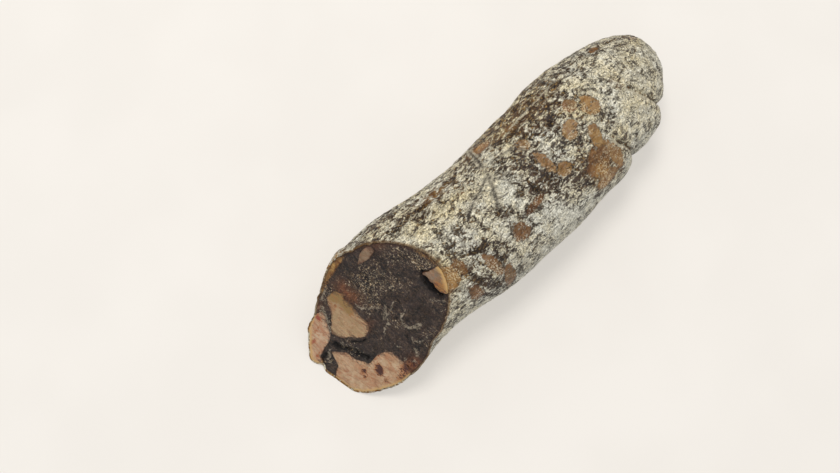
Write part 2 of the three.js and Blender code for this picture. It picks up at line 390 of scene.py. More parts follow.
def skin_relief(y, angle):
    """Height of the skin over the plain body, and the masks that its finish needs. A wrinkle is
    1 - 2 |noise|, which is sharp where the noise passes zero."""
    points = body(y, angle)
    bent = bend(points, 7 * MM, 11, 1.4 * MM)
    long_wrinkle = 1 - 2 * np.abs(noise(bent, (1.5 * MM, 9 * MM, 1.5 * MM), 20))
    long_wrinkle = long_wrinkle * (0.5 + mounds(y, angle, WRINKLED))
    fine_wrinkle = 1 - 2 * np.abs(noise(bent, (1.1 * MM, 2.6 * MM, 1.1 * MM), 24))
    wrinkles = LONG_WRINKLE * long_wrinkle + FINE_WRINKLE * fine_wrinkle
    wrinkles = wrinkles + SKIN_GRAIN * rough(points, 2 * MM, 33)
    cover, tone = taut_patches(y, angle, points)
    height = LUMP_HEIGHT * rough(points, (11 * MM, 15 * MM, 11 * MM), 30)
    height = height + (1 - 0.85 * cover) * wrinkles + PATCH_RISE * cover
    wander = 0.5 * MM * np.stack([rough(points, 3.5 * MM, seed) for seed in (26, 28)], axis=-1)
    flat = on_skin(y, angle) + wander
    folds, fold, brow = creased(flat)
    cords, hem, shade = veined(flat)
    pleats = np.sin(PLEATS * angle + 3 * noise(points, 9 * MM, 35))
    near_tip = ease(y, TIP_Y - 14 * MM, TIP_Y - 5 * MM) * ease(y, TIP_Y, TIP_Y - 4 * MM)
    height = height + folds + cords + mounds(y, angle, LOBES) + PLEAT_HEIGHT * pleats * near_tip
    masks = {"patch": cover, "tone": tone, "fold": fold, "pale_edge_and_highlight": np.maximum(0.9 * brow, hem), "shade": shade}
    return height * MM, masks


def skin_point(y, angle, depth):
    """A point `depth` below the wrinkled skin. It stays `depth` above the ground, or MEAT_FLOOR if that
    is less."""
    height, _ = skin_relief(y, angle)
    points = body(y, angle) + outward(y, angle) * (height - depth)[..., None]
    points[..., 2] = np.maximum(points[..., 2], np.minimum(depth, MEAT_FLOOR))
    return points


def rim_places(angle, depth, rounds=18):
    """The y at which the surface at this depth meets the cut plane: each round moves 0.7 of the
    way that is left."""
    y = np.full(angle.shape, CUT_Y)
    for _ in range(rounds):
        x, now, z = np.moveaxis(skin_point(y, angle, depth), -1, 0)
        y = y + 0.7 * (cut_plane(x, z) - now)
    return y


# %% [markdown]
# ## One way to make every solid
#
# The skin, the meat and each lump of fat are all closed surfaces that can be swept from one point,
# through rings of points, to another point. So one function makes them all: it takes the rings as one
# array, closes both ends with a fan, and lays out a map on which the finishes can be baked.

# %% Solids from rings
def placed(name, data):
    """A new object of that data, in the scene."""
    thing = bpy.data.objects.new(name, data)
    bpy.context.scene.collection.objects.link(thing)
    return thing


def solid(name, rings, first, last, chart):
    """A closed mesh from first, through rings (ring, place round it, xyz), to last.

    Corner (ring, column) has the number 1 + ring x around + column, kept between 0 for the first point
    and the last. chart(ring, column, band) gives its map place, where band is the strip of its face.
    Ring -1 is the first point, and column counts on past the seam.
    """
    count, around = rings.shape[:2]
    corners = np.concatenate([[first], rings.reshape(-1, 3), [last]])
    ring, column = np.indices((count - 1, around)).reshape(2, -1)
    j = np.arange(around)
    start = 0 * j
    end = start + count - 1
    groups = [([start - 1, start, start], [j, j + 1, j], start - 1),
              ([ring, ring, ring + 1, ring + 1], [column, column + 1, column + 1, column], ring),
              ([end, end, end + 1], [j, j + 1, j], end)]
    faces = []
    places = []
    for rows, columns, band in groups:
        rows = np.stack(rows, axis=1)
        columns = np.stack(columns, axis=1)
        faces += np.clip(1 + rows * around + columns % around, 0, len(corners) - 1).tolist()
        bands = np.broadcast_to(band[:, None], rows.shape)
        places.append(chart(rows, columns, bands).reshape(-1, 2))
    mesh = bpy.data.meshes.new(name)
    mesh.from_pydata(corners.tolist(), [], faces)
    layer = mesh.uv_layers.new(name="OFBake")
    layer.data.foreach_set("uv", np.concatenate(places).astype(np.float32).ravel())
    mesh.shade_smooth()
    print(f"{name}: {len(corners)} corners, {len(faces)} faces")
    return placed(name, mesh)


def paint(piece, name, ring_values):
    """Stores one number for each corner of a solid: the rings' values, with their end means at the tips."""
    values = np.concatenate([[ring_values[0].mean()], ring_values.ravel(), [ring_values[-1].mean()]])
    layer = piece.data.attributes.new(name, "FLOAT", "POINT")
    layer.data.foreach_set("value", values.astype(np.float32))


def circle(count):
    """Evenly spaced angles, all the way round."""
    return np.arange(count) * (2 * np.pi / count)


def wrapped(count, rows):
    """A map chart that unrolls a solid: the way round it across, and rows(ring) up the map."""
    def chart(ring, column, band):
        return np.stack([0.01 + 0.98 * column / count, rows(ring)], axis=-1)
    return chart


# %% [markdown]
# ## The casing
#
# A real dried casing is a fraction of a millimetre thick. It starts at the inner tip, runs up the
# inside to the cut, turns over a rounded lip, and comes back along the outside, so it has a true wall.

# %% Build the casing
WALL = 0.55 * MM
LIP_RISE = 0.12 * MM
AROUND = 260
OUTER_ROWS = 290
INNER_ROWS = 90
OUTER_SHARE = 0.86
RING_EASING = 1.3

angles = circle(AROUND)


def lengthwise(rows, angle, depth, first=0):
    """(rows, angles) of y from the cut rim to just short of the tip, crowding towards the tip."""
    s = np.arange(first, rows) / rows
    s = (1 - (1 - s) ** RING_EASING)[:, None]
    return rim_places(angle, depth)[None] * (1 - s) + (TIP_Y - depth) * s


outer_y = lengthwise(OUTER_ROWS, angles, 0.0)
outer_angle = np.broadcast_to(angles, outer_y.shape)
outer = skin_point(outer_y, outer_angle, 0.0)
inner_y = lengthwise(INNER_ROWS, angles, WALL)
inner_angle = np.broadcast_to(angles, inner_y.shape)
inner = skin_point(inner_y, inner_angle, WALL)
lip = (outer[:1] + inner[:1]) / 2 + LIP_RISE * np.array([0, -1, 1]) / math.sqrt(2)
tip_height = skin_relief(np.array([TIP_Y - 0.4 * MM]), np.array([0.0]))[0][0]
tip = body(np.array(TIP_Y), np.array(0.0)) + (0, tip_height, 0)
casing_rings = np.concatenate([inner[::-1], lip, outer])


def casing_rows(ring):
    """Most of the map's height goes to the outside, which is all that shows."""
    inside = (1 - OUTER_SHARE) * np.clip((ring + 1) / (INNER_ROWS + 1), 0, 1)
    return 0.005 + 0.99 * (inside + OUTER_SHARE * np.clip((ring - INNER_ROWS) / OUTER_ROWS, 0, 1))


casing = solid("sausage_casing", casing_rings[:, ::-1], tip - (0, WALL, 0), tip, wrapped(AROUND, casing_rows))

# %% [markdown]
# The finish needs to know where the bloom lies thick and where the skin is bare, so each corner of the
# casing also carries numbers. They are sums of soft mounds, listed as (y, angle, size along, size around,
# change). Bloom is given as how pale the skin looks, and BARE and COVERED are its two ends.

# %% Where the bloom lies
BLOOM_BASE = 0.36
BARE = 0.05
COVERED = 0.62
BLOOM = [
    (20, 140, 90, 10, -0.17), (28, 130, 10, 12, -0.12), (27, 116, 7, 6, -0.08), (-16, 133, 26, 4, -0.04),
    (-9, 117, 9, 5, 0.09), (8, 118, 8, 5, -0.04), (12, 105, 6, 6, -0.15), (34, 103, 18, 7, -0.11),
    (12, 86, 5, 7, -0.17), (12, 75, 5, 6, -0.12), (40, 90, 10, 6, -0.06), (-24, 72, 8, 8, -0.10),
    (-3, 74, 4, 5, -0.12), (4, 78, 4, 5, -0.08), (20, 72, 5, 8, -0.06), (28, 76, 6, 6, -0.05),
    (62, 66, 16, 14, 0.09), (-16, 60, 8, 6, -0.10), (14, 60, 5, 5, -0.08), (24, 56, 5, 8, -0.16),
    (33, 50, 8, 10, -0.18), (-28, 40, 6, 9, -0.18), (6, 40, 8, 8, 0.05), (50, 38, 7, 10, -0.08),
    (-26, 26, 9, 7, -0.16), (34, 28, 6, 8, -0.15), (-21, 10, 5, 8, -0.14), (8, 12, 8, 8, 0.05),
    (66, 98, 18, 16, 0.06), (68, 135, 5, 5, -0.10), (84, 132, 5, 5, -0.15), (0, -90, 120, 26, -0.08),
    (1, 93, 5, 5, 0.14), (-9, 71, 3, 4, 0.16), (6, 130, 2, 2, 0.25),
    (20, 165, 24, 12, -0.12), (-7, 81, 2, 3, -0.22), (10, 71, 5, 5, -0.08), (-45, 147, 14, 6, -0.14),
    (62, 66, 5, 5, 0.10), (-24, 34, 4, 4, -0.06), (38, 108, 4, 4, -0.05), (14, 38, 10, 8, 0.06),
    (22, 58, 4, 4, -0.08), (33, 112, 6, 4, -0.06), (-2, 108, 3, 3, 0.06), (48, 68, 2, 5, -0.12),
    (-14, 148, 12, 6, 0.08), (60, 148, 12, 6, 0.07), (4, 133, 4, 4, -0.06), (12, 118, 5, 4, 0.06),
    (28, 118, 4, 4, 0.08), (-36, 106, 5, 8, 0.12), (24, 103, 7, 4, 0.06), (50, 100, 6, 6, 0.07),
    (28, 88, 5, 4, 0.06), (-36, 66, 5, 6, -0.08), (54, 62, 11, 9, 0.06), (-20, 58, 4, 4, 0.07),
    (-4, 57, 4, 4, -0.14), (-36, 43, 4, 4, 0.08), (20, 28, 5, 6, 0.12), (47, 22, 5, 6, 0.12),
    (-24, 20, 7, 7, 0.06), (8, 4, 30, 7, 0.09), (-36, 0, 6, 8, 0.08), (4, 96, 4, 4, 0.06),
]

# The same kind of mounds for two tints of the skin.
WARMTH_BASE = 0.28
WARMTH = [
    (20, 133, 90, 12, 0.08), (10, 8, 90, 14, -0.25), (28, 136, 12, 10, 0.35), (80, 100, 12, 16, 0.35),
    (36, 44, 9, 12, 0.5), (44, 95, 6, 8, 0.4), (-24, 112, 14, 7, 0.35), (-12, 116, 8, 4, 0.4),
    (-34, 66, 6, 9, 0.5), (64, 62, 6, 10, 0.3), (46, 26, 8, 10, 0.2), (18, 165, 30, 14, 0.35),
    (0, -90, 120, 30, 0.3),
]
ORANGE = [
    (-38, 64, 5, 6, 0.6), (59, 86, 2.2, 5, 0.42), (62.5, 65, 2.6, 4, 0.42), (66, 48, 2, 4, 0.25),
    (-61, 170, 6, 11, 1.6), (-10, 116, 1.4, 2.6, 0.8), (-17, 138, 5, 2.5, 0.6), (-84, 220, 6, 14, 1.5),
    (-90, 262, 5, 16, 1.6), (-84, 300, 6, 16, 1.5), (-72, 335, 4, 9, 0.9), (66, 135, 1.6, 1.6, 0.5),
    (6, 148, 3.2, 2.2, 0.7), (19, 134, 3.5, 2, 0.6), (33, 36, 3.5, 5, 0.7), (41, 30, 3, 4, 0.5),
    (-32, 100, 2, 3, 0.3), (-86, 222, 5, 10, 0.8), (46, 96, 1.4, 2.4, 0.4),
]


# %% Paint the casing's masks
def casing_masks(y, angle):
    """Every number that the casing's finish reads, at y and angle. The bloom drifts more where the skin
    is turned away from the top."""
    _, masks = skin_relief(y, angle)
    points = body(y, angle)
    turned = ease(np.cos(angle - math.radians(80)), 0.2, -0.4)
    drift = (0.07 + 0.07 * turned) * rough(points, (6 * MM, 9 * MM, 6 * MM), 50)
    pale = BLOOM_BASE + mounds(y, angle, BLOOM) + drift
    masks["bloom"] = (pale - BARE) / (COVERED - BARE)
    masks["warm"] = np.clip(WARMTH_BASE + mounds(y, angle, WARMTH) + 0.2 * rough(points, 7 * MM, 55), 0, 1)
    masks["orange"] = np.clip(mounds(y, angle, ORANGE) * (1 + rough(points, 2 * MM, 57)), 0, 1)
    masks["rim"] = bell(y, y[:1], 0.5 * MM)
    return masks


outer_masks = casing_masks(outer_y, outer_angle)
inner_masks = casing_masks(inner_y, inner_angle)
inner_masks["rim"] = np.ones(inner_y.shape)
for mask, values in outer_masks.items():
    whole = np.concatenate([inner_masks[mask][::-1], values[:1], values])
    paint(casing, mask, whole[:, ::-1])
print("mean bloom outside", round(float(outer_masks["bloom"].mean()), 2))

# %% [markdown]
# ## The cut face
#
# The knife left one slanted face through everything. Places on it are given as (x, z) in millimetres,
# as seen along the sausage. Each lump of fat is drawn by two edges that meet at both ends. An edge is
# either a line of stations or a stretch of the rim between two angles.

# %% Places on the cut face
FACE_NORMAL = np.array([CUT_LEAN, -1.0, CUT_SLOPE])
FACE_NORMAL = FACE_NORMAL / np.linalg.norm(FACE_NORMAL)
STEEPNESS = math.hypot(1, CUT_SLOPE)
CLEARANCE = 0.12 * MM
MEAT_DEPTH = WALL + CLEARANCE
MEAT_AROUND = 320

meat_angles = circle(MEAT_AROUND)
rim_y = rim_places(meat_angles, MEAT_DEPTH)
meat_rim = skin_point(rim_y, meat_angles, MEAT_DEPTH)


def face_point(xz, lift):
    """The point over (x, z) on the cut plane, lifted off the face by `lift`."""
    x, z = xz[..., 0], xz[..., 1]
    flat = np.stack([x, cut_plane(x, z), z], axis=-1)
    lifted = flat + FACE_NORMAL * np.asarray(lift)[..., None]
    lifted[..., 2] = np.maximum(lifted[..., 2], MEAT_DEPTH)
    return lifted


def on_face(xz):
    """(x, z) with z stretched to its true length up the slanted face."""
    return xz * (1, STEEPNESS)


middle_xz = np.array([through(AXIS_WANDER, np.array(CUT_Y)), AXIS_HEIGHT])
REACH = 1.006
EDGE_COUNT = 96
RAGGED = 0.6 * MM


def rim_edge(start, end):
    """The meat's rim between two angles, in degrees, as (x, z)."""
    at = np.radians(np.linspace(start, end, EDGE_COUNT))
    round_angles = np.append(meat_angles, 2 * np.pi)
    closed = np.concatenate([meat_rim, meat_rim[:1]])
    edge = np.stack([np.interp(at % (2 * np.pi), round_angles, closed[:, k]) for k in (0, 2)], axis=1)
    return middle_xz + (edge - middle_xz) * REACH


# %% Outlines of the fat
# node: (first edge, second edge). Both run the same way. A pair of angles is a stretch of the rim, and
# None stands for the rim point where that stretch starts or ends.
CUT_FAT = {
    "fat_centre": (
        [(-20.3, 19.4), (-19.4, 22.2), (-16.4, 22.9), (-14.2, 21.7), (-11.4, 22.1), (-8.4, 20.9), (-5.2, 20.6),
         (-2.4, 20.1), (-0.4, 18.6), (0.5, 16.6)],
        [(-20.3, 19.4), (-18.1, 17.9), (-15.1, 16.2), (-12.7, 13.7), (-10.6, 11.6), (-8.4, 11.3), (-6.2, 11.8),
         (-4.2, 13.2), (-1.8, 14.4), (0.5, 16.6)],
    ),
    "fat_left": (
        [None, (-18.4, 14.8), (-16.4, 14.4), (-14.2, 13.5), (-12.2, 12.2), (-9.9, 10.8), (-8.9, 8.6),
         (-8.4, 5.6), (-7.4, 3.0), None],
        (205, 250),
    ),
    "fat_bottom": (
        [None, (0.6, 2.2), (-0.6, 4.6), (-3.0, 5.6), (-5.4, 6.4), (-3.4, 7.6), (-1.0, 9.0), (2.0, 8.7),
         (5.0, 9.4), (7.6, 10.1), (8.0, 12.8), (8.8, 15.2), (12.0, 16.9), (15.6, 16.9), (18.8, 16.3),
         (21.2, 15.6), None],
        (268, 342),
    ),
    "fat_top": (
        [(-20.4, 34.8), (-21.0, 37.2), (-19.4, 38.7), (-17.6, 38.0), (-16.9, 36.2), (-17.4, 34.8)],
        [(-20.4, 34.8), (-19.8, 34.0), (-19.0, 32.6), (-18.2, 33.4), (-17.6, 34.2), (-17.4, 34.8)],
    ),
    "fat_rim_lump": (
        [None, (2.0, 42.2), (1.1, 41.0), (4.4, 40.5), (8.0, 39.9), (11.0, 39.5), None],
        (77, 51),
    ),
}


def ragged_line(stations):
    """A smooth line through stations, which wanders off between its ends as a torn edge does."""
    edge = smooth_line(stations, EDGE_COUNT) * MM
    spots = np.stack([edge[:, 0], np.full(EDGE_COUNT, 7 * MM), edge[:, 1]], axis=1)
    shift = np.stack([rough(spots, 1.6 * MM, seed) for seed in (60, 67)], axis=1)
    fade = np.sin(np.linspace(0, np.pi, EDGE_COUNT))[:, None] ** 0.5
    return edge + RAGGED * fade * shift


def lump_edges(first, second):
    """Both edges of a lump as rows of (x, z)."""
    if isinstance(second, tuple):
        rim = rim_edge(*second)
        return ragged_line([rim[0] / MM, *first[1:-1], rim[-1] / MM]), rim
    return ragged_line(first), ragged_line(second)


EDGES = {name: lump_edges(*both) for name, both in CUT_FAT.items()}
print("rim of the meat spans", np.round(np.ptp(meat_rim, axis=0) / MM, 1), "mm")

# %% [markdown]
# ## The lean meat
#
# The lean is one bound mass. Its face is drawn in rings from the middle of the cut to the rim, and its
# side runs on inside the casing to the tip. The face is torn and fibrous, with crevices where it has
# shrunk from the fat, and it drops away under each lump, so every lump sits in a real pocket.

# %% Crevices, threads and spots of the cut face
# stations in (x, z), depth, width: gaps between lean and fat.
CREVICES = [
    ([(-0.4, 41.2), (1.6, 41.6), (3.2, 43.0)], 1.6, 0.55),
    ([(0.0, 40.9), (3.6, 40.1), (6.6, 39.3), (9.6, 38.8), (12.2, 38.9)], 2.6, 0.85),
    ([(-8.0, 9.4), (-5.8, 9.2), (-3.4, 9.4), (-0.6, 10.6), (2.4, 10.9), (5.4, 11.4), (7.2, 11.6)], 1.1, 0.8),
    ([(1.4, 16.4), (0.2, 14.0), (-3.4, 12.2)], 0.6, 0.5),
    ([(-5.9, 1.0), (-6.4, 3.2), (-6.8, 5.4)], 1.0, 0.7),
    ([(19.6, 16.8), (19.2, 14.2), (20.0, 11.6)], 0.6, 0.5),
]

# stations in (x, z), width: threads of fat in the lean.
MARBLING = [
    ([(-1.9, 27.9), (-0.4, 26.6), (0.2, 25.0), (2.3, 24.1), (4.8, 23.1)], 0.55),
    ([(-0.3, 30.1), (0.4, 28.4), (1.4, 26.5), (1.0, 25.0)], 0.4),
    ([(5.0, 29.8), (5.6, 27.4), (7.6, 26.2), (10.1, 26.0), (12.2, 27.6), (12.2, 29.4)], 0.6),
    ([(10.0, 19.8), (11.7, 19.5), (13.7, 20.3)], 0.3),
    ([(13.1, 24.6), (14.4, 23.6), (15.6, 24.1), (16.8, 24.3), (17.5, 26.0)], 0.4),
    ([(8.9, 36.0), (11.2, 36.9), (13.2, 38.1), (14.3, 38.4)], 0.3),
    ([(16.6, 22.0), (18.4, 21.4), (20.2, 20.4)], 0.5),
    ([(18.8, 18.2), (20.6, 18.9), (22.0, 18.4)], 0.45),
    ([(16.4, 18.2), (17.6, 17.6)], 0.4),
    ([(-10.6, 22.9), (-8.0, 22.6), (-5.6, 23.8), (-3.8, 25.2), (-2.4, 26.6)], 0.5),
    ([(-6.6, 7.4), (-5.6, 4.8), (-4.2, 3.6)], 0.5),
    ([(-22.8, 22.0), (-21.9, 19.8), (-21.2, 17.4)], 0.5),
    ([(-20.2, 17.2), (-16.6, 14.8), (-13.2, 12.7), (-10.4, 11.2)], 0.9),
    ([(-5.6, 10.8), (-3.4, 9.9), (-1.8, 10.4)], 0.25),
    ([(-2.6, 11.9), (0.4, 10.6), (2.6, 11.6)], 0.22),
    ([(3.2, 12.6), (4.8, 11.0), (6.6, 11.4)], 0.22),
    ([(-5.0, 6.2), (-4.6, 4.2), (-2.6, 3.4)], 0.3),
    ([(3.4, 24.0), (4.0, 21.6), (5.4, 20.2)], 0.3),
]
POCKET = 3.4 * MM

# mask: (x, z, half width, half height, amount), where torn fibres glint, which is painted highlight, where
# blood has reddened the meat, where the rim is golden, and where the meat is black, partly painted shade by
# the crevices.
FACE_SPOTS = {
    "glint": [(-12, 30, 6, 4.5, 1.3), (-11, 41, 5, 3, 0.6), (-4, 34.5, 5, 4, 0.5), (-2, 43.5, 5, 2.5, 0.9),
              (14, 37, 5, 4, 0.3), (19, 27, 3, 5, 0.5), (-6, 25.5, 4, 2.5, 0.6), (0, 10.5, 5, 2.5, 0.5),
              (4, 26, 5, 3, 0.3), (-22, 20, 2.5, 3, 0.8), (-4, 3.5, 2.5, 2.5, 0.6), (8, 18, 8, 3, 0.1),
              (8, 43, 4, 2, 0.4)],
    "red": [(-13.5, 24.0, 3.6, 2.0, 1.0), (21.2, 17.0, 3.6, 2.8, 1.2), (-20.5, 14.6, 1.6, 2.4, 0.7),
            (-19, 24.5, 3, 2.0, 0.5), (-20, 41, 4, 3, 0.5), (-1.4, 19, 1.6, 2.6, 0.5), (25, 22, 2, 5, 0.4)],
    "gilt": [(-25.4, 25.4, 1.8, 3.6, 1.3), (-23.6, 19.6, 1.2, 2.6, 1.0), (-25.2, 30, 1.2, 2.5, 0.9),
             (-21.6, 15.4, 1.0, 1.8, 0.7), (24.5, 24, 0.8, 5, 0.5), (-3, 45.2, 9, 0.7, 0.6)],
    "pit": [(6, 39.0, 5, 1.6, 1.0), (-4.5, 8.8, 3.4, 1.5, 0.9), (1, 10.7, 4, 1.7, 1.0),
            (6.6, 12.0, 3.4, 1.5, 1.0), (-4, 2.5, 2.5, 2.5, 0.4), (-14, 32, 6, 4, 0.3)],
}


# %% Relief of the cut face
def face_tones(xz, spots):
    """The sum of soft bells on the cut face, kept to 0 to 1."""
    x, z = np.moveaxis(xz, -1, 0)
    bells = [s[4] * bell(x, s[0] * MM, s[2] * MM) * bell(z, s[1] * MM, s[3] * MM) for s in spots]
    return np.clip(sum(bells), 0, 1)


def inside(points, outline):
    """Signed distance to a closed outline of (x, z) corners, positive inside. A point is inside when a
    ray from it crosses the outline an odd number of times."""
    distance, _, _ = to_line(points, np.concatenate([outline, outline[:1]]))
    x, z = points[..., 0], points[..., 1]
    odd = np.zeros(x.shape, bool)
    for (ax, az), (bx, bz) in zip(outline, np.roll(outline, -1, axis=0)):
        crosses = (az > z) != (bz > z)
        rise = bz - az if bz != az else 1e-12
        odd ^= crosses & (x < ax + (z - az) / rise * (bx - ax))
    return np.where(odd, distance, -distance)


def cracked(flat, points):
    """Depth of the crevices in metres, and how far inside one each place is, from 0 to 1, which the finish
    paints dark as shade.
    """
    drop, crevice_shade = np.zeros((2, *flat.shape[:-1]))
    wobble = 1 + 0.4 * noise(points, 1.6 * MM, 84)
    for stations, depth, width in CREVICES:
        distance, _, way = to_line(flat, on_face(smooth_line(stations) * MM))
        slot = bell(distance, 0, width * wobble * MM) * ease(way, 0, 0.12) * ease(way, 1, 0.9)
        drop = drop + depth * MM * slot
        crevice_shade = np.maximum(crevice_shade, slot)
    return drop, crevice_shade


def marbled(flat, points):
    """1 on the threads of fat, whose width wobbles."""
    thread = np.zeros(flat.shape[:-1])
    wobble = np.clip(1 + 1.6 * rough(points, 1.5 * MM, 86), 0.05, 3)
    for stations, width in MARBLING:
        distance, _, way = to_line(flat, on_face(smooth_line(stations) * MM))
        wide = width * MM * wobble
        band = ease(distance, 1.9 * wide, 0.3 * wide)
        thread = np.maximum(thread, band * ease(way, -0.05, 0.15) * ease(way, 1.05, 0.85))
    return thread


def face_relief(xz):
    """Height of the lean's cut face over the cut plane, and the masks that its finish needs: torn lumps
    and fibres, less the crevices, plus the threads, and a flat pocket under each lump of fat."""
    points = face_point(xz, np.zeros(xz.shape[:-1]))
    flat = on_face(xz)
    torn = 0.42 * rough(points, 3.4 * MM, 70) + 0.24 * rough(points, 1.1 * MM, 74)
    bent = bend(points, 8 * MM, 81, 2.2 * MM)
    fibres = 1 - 2 * np.abs(noise(bent, (0.9 * MM, 3.2 * MM, 1.6 * MM), 78))
    drop, crevice_shade = cracked(flat, points)
    thread = marbled(flat, points)
    height = (torn + 0.20 * fibres + 0.12 * thread) * MM - drop
    for one, two in EDGES.values():
        within = inside(flat, on_face(np.concatenate([one, two[-2:0:-1]])))
        sunk = ease(within, 0.1 * MM, 0.5 * MM)
        height = height * (1 - sunk) - POCKET * sunk
    masks = {name: face_tones(xz, spots) for name, spots in FACE_SPOTS.items()}
    return height, {**masks, "crevice_shade": crevice_shade, "thread": thread}


# %% [markdown]
# The lumps just under the skin press the meat in, so their places come before the meat.

# %% Hollows for the lumps under the skin
# y, angle, half length along, half length around: the lumps just under the skin, with their nodes.
UNDER_SKIN = {
    "fat_spot": (-4.6, 56, 3.8, 4.4),
    "fat_fleck": (5.6, 67.5, 4.2, 2.4),
    "fat_band": (19.3, 76, 3.0, 7.6),
    "fat_shoulder": (38.4, 70, 3.6, 6.6),
    "fat_ridge": (45.6, 93, 3.2, 5.0),
    "fat_flank": (41.0, 45, 4.4, 5.6),
    "fat_side": (-18.4, 46, 2.8, 8.0),
}
LUMP_THICKNESS = 2.6 * MM


def lens(radius):
    """The thickness profile of a lump under the skin: (1 - radius^2) ^ 0.7, and nothing past 1."""
    return np.clip(1 - radius**2, 0, 1) ** 0.7


def hollows(y, angle):
    """How deep the meat gives way to the lumps under the skin."""
    deep = np.zeros(y.shape)
    for at_y, at_angle, along, around in UNDER_SKIN.values():
        a, b = offsets(y, angle, at_y, at_angle)
        radius = np.hypot(a / ((along + 0.4) * MM), b / ((around + 0.4) * MM))
        deep = np.maximum(deep, (LUMP_THICKNESS + 0.3 * MM) * lens(radius))
    return deep


# %% Build the lean meat
FACE_ROWS = 128
SIDE_ROWS = 110
FACE_SHARE = 0.8

share = (np.arange(1, FACE_ROWS + 1) / FACE_ROWS)[:, None, None]
rim_xz = meat_rim[:, [0, 2]]
face_xz = middle_xz * (1 - share) + rim_xz[None] * share
face_height, face_masks = face_relief(face_xz)
at_rim = ease(share[..., 0], 1.0, 0.985)
face = face_point(face_xz, np.where(face_height < -1 * MM, face_height, face_height * at_rim))

side_y = lengthwise(SIDE_ROWS, meat_angles, MEAT_DEPTH, first=1)
side_angle = np.broadcast_to(meat_angles, side_y.shape)
side_depth = MEAT_DEPTH + 1.3 * MM * ease(side_y - rim_y, 0, 6 * MM)
side = skin_point(side_y, side_angle, side_depth)
side = side - outward(side_y, side_angle) * hollows(side_y, side_angle)[..., None]
sink = np.linalg.norm(face[-1] - meat_rim, axis=-1)
side[..., 1] += sink * np.exp(-np.arange(SIDE_ROWS - 1) / 1.5)[:, None]

meat_rings = np.concatenate([face, side])
face_middle = face_point(middle_xz, face_height[0].mean())
meat_tip = tip - (0, MEAT_DEPTH, 0)
low_xz = face_xz.reshape(-1, 2).min(axis=0)
span_xz = np.ptp(face_xz.reshape(-1, 2), axis=0)


def meat_chart(ring, column, band):
    """The cut face keeps its own shape on most of the map, and the side is unrolled above it."""
    r = np.clip(ring, 0, FACE_ROWS - 1)
    flat = (face_xz[r, column % MEAT_AROUND] - low_xz) / span_xz
    flat = np.where((ring < 0)[..., None], (middle_xz - low_xz) / span_xz, flat)
    on_cut = 0.01 + flat * (0.98, FACE_SHARE - 0.02)
    up = np.clip((ring - FACE_ROWS + 1) / SIDE_ROWS, 0, 1)
    up = FACE_SHARE + 0.01 + (0.98 - FACE_SHARE) * up
    on_side = np.stack([0.01 + 0.98 * column / MEAT_AROUND, up], axis=-1)
    return np.where((band < FACE_ROWS - 1)[..., None], on_cut, on_side)


meat = solid("lean_meat_cut", meat_rings, face_middle, meat_tip, meat_chart)
for mask, values in face_masks.items():
    paint(meat, mask, np.concatenate([values, np.zeros(side.shape[:2])]))
edge_of_cut = np.concatenate([ease(share[..., 0], 0.9, 1.0) * np.ones(MEAT_AROUND), np.ones(side.shape[:2])])
paint(meat, "edge", edge_of_cut)

# %% [markdown]
# ## The lumps of fat
#
# Fat cuts cleaner than lean and stands a little proud of it once the lean has dried. Each lump that the
# knife went through is a slab swept between its two edges: a domed top, rounded shoulders and a keel
# that reaches down into its pocket.

# %% Build the lumps at the cut
# x, z, half sizes, amount: fat that has turned amber, and stains of blood.
RIPE = [(-18.5, 21.5, 2.6, 2.6, 1.0), (-13.5, 21.5, 3.5, 1.8, 1.0), (-10.5, 20.0, 2.6, 2.2, 0.6),
        (9, 40, 4, 3, 0.8), (-18, 37, 2.5, 2.5, 0.3)]
STAINS = [(8.6, 7.5, 0.9, 1.1, 1.0), (10.4, 6.0, 0.6, 0.8, 0.7), (12.3, 10.5, 1.3, 1.1, 1.3),
          (11.0, 11.2, 0.9, 0.7, 0.9), (13.8, 9.6, 1.1, 0.7, 1.0), (19.4, 15.6, 1.9, 1.3, 0.9),
          (21.0, 12.6, 1.8, 1.8, 0.9), (17.5, 8.6, 2.5, 1.0, 0.5), (-15.6, 19.0, 1.0, 0.4, 0.8),
          (-13.6, 5.5, 0.7, 1.1, 0.9), (-8.8, 3.1, 0.6, 1.0, 0.7), (-17.6, 12.8, 1.8, 1.0, 0.8),
          (-15.2, 9.6, 0.5, 1.4, 0.35), (8.5, 15.0, 0.7, 1.8, 0.35), (7.4, 40.8, 1.0, 0.5, 0.6),
          (11.2, 40.2, 0.5, 1.4, 0.4)]
TOP_COUNT = 44
DOME = 0.28
# share of the way across, height in millimetres
KEEL = [(1.0, -0.9), (0.97, -1.8), (0.86, -2.6), (0.6, -3.0), (0.4, -3.0), (0.14, -2.6), (0.03, -1.8),
        (0.0, -0.9)]


def lump_chart(ring, column, band):
    """The top takes most of the map's height, and the keel the rest."""
    top = np.clip(column / (TOP_COUNT - 1), 0, 1)
    keel = np.clip((column - TOP_COUNT + 1) / (len(KEEL) + 1), 0, 1)
    return np.stack([0.01 + 0.98 * (ring + 1) / (EDGE_COUNT - 1), 0.01 + 0.86 * top + 0.12 * keel], axis=-1)


